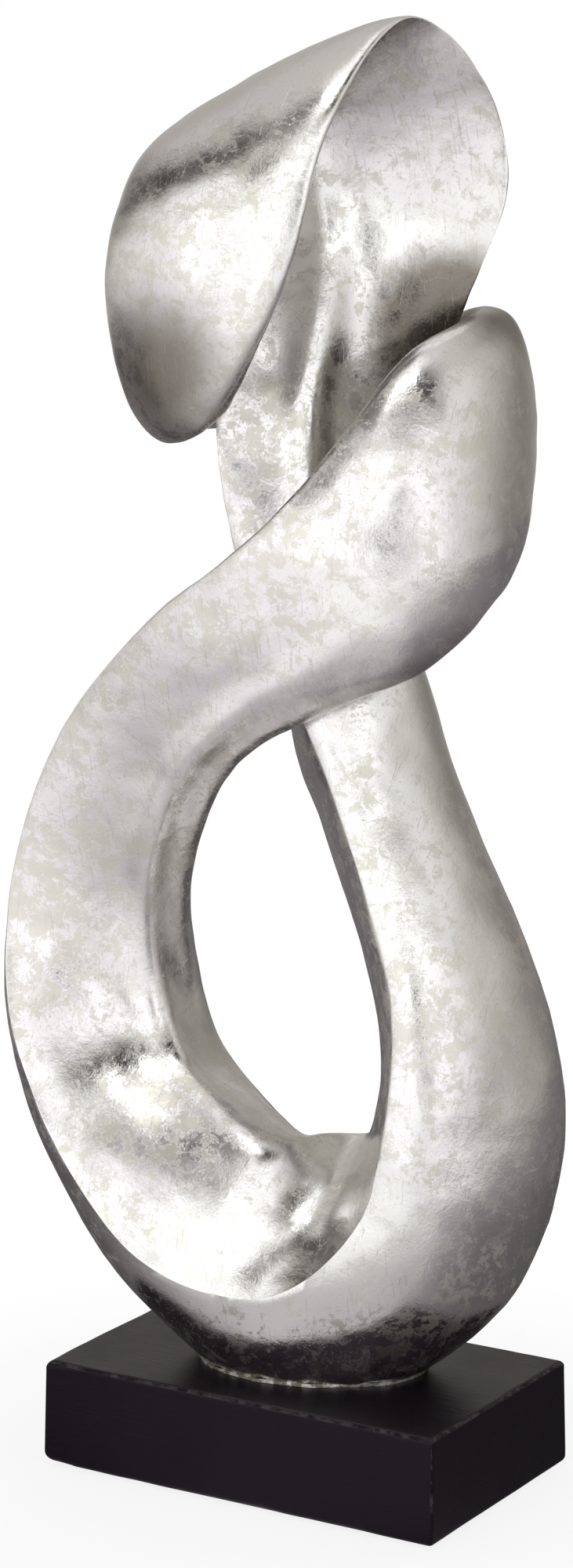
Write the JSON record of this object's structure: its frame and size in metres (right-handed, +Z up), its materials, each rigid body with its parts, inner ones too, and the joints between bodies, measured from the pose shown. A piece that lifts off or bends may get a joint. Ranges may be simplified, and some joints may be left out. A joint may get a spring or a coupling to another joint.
{
  "type": "infinity sculpture",
  "caption": "Tall abstract ornament: a twisted closed band in silver leaf, folded over in a leaf and a lobe at the top, on a black block plinth.",
  "frame": {"origin": "centre of the plinth's underside, on the lower face of the felt", "axes": "+Z up, +X along the long side of the plinth towards its right end, +Y towards the back"},
  "size_m": [0.2412, 0.1768, 0.6492],
  "materials": {
    "silver_leaf": "silver leaf rubbed through in places to a pale olive-beige ground, over cast resin, satin",
    "filler": "thin pale filler with scraps of leaf",
    "black_lacquer": "black satin lacquer over fine brush strokes, slightly worn at the edges",
    "steel": "zinc-plated steel",
    "brass": "turned brass",
    "felt": "black pressed felt"
  },
  "bodies": {
    "root": {"lower_loop": "silver_leaf", "upper_loop": "silver_leaf", "foot_bead": "filler", "joint_pin_left": "steel", "joint_pin_right": "steel", "plinth_block": "black_lacquer", "threaded_insert_left": "brass", "threaded_insert_right": "brass", "plinth_bolt_left": "steel", "plinth_bolt_right": "steel", "washer_left": "steel", "washer_right": "steel", "felt_sheet": "felt"}
  },
  "joints": []
}
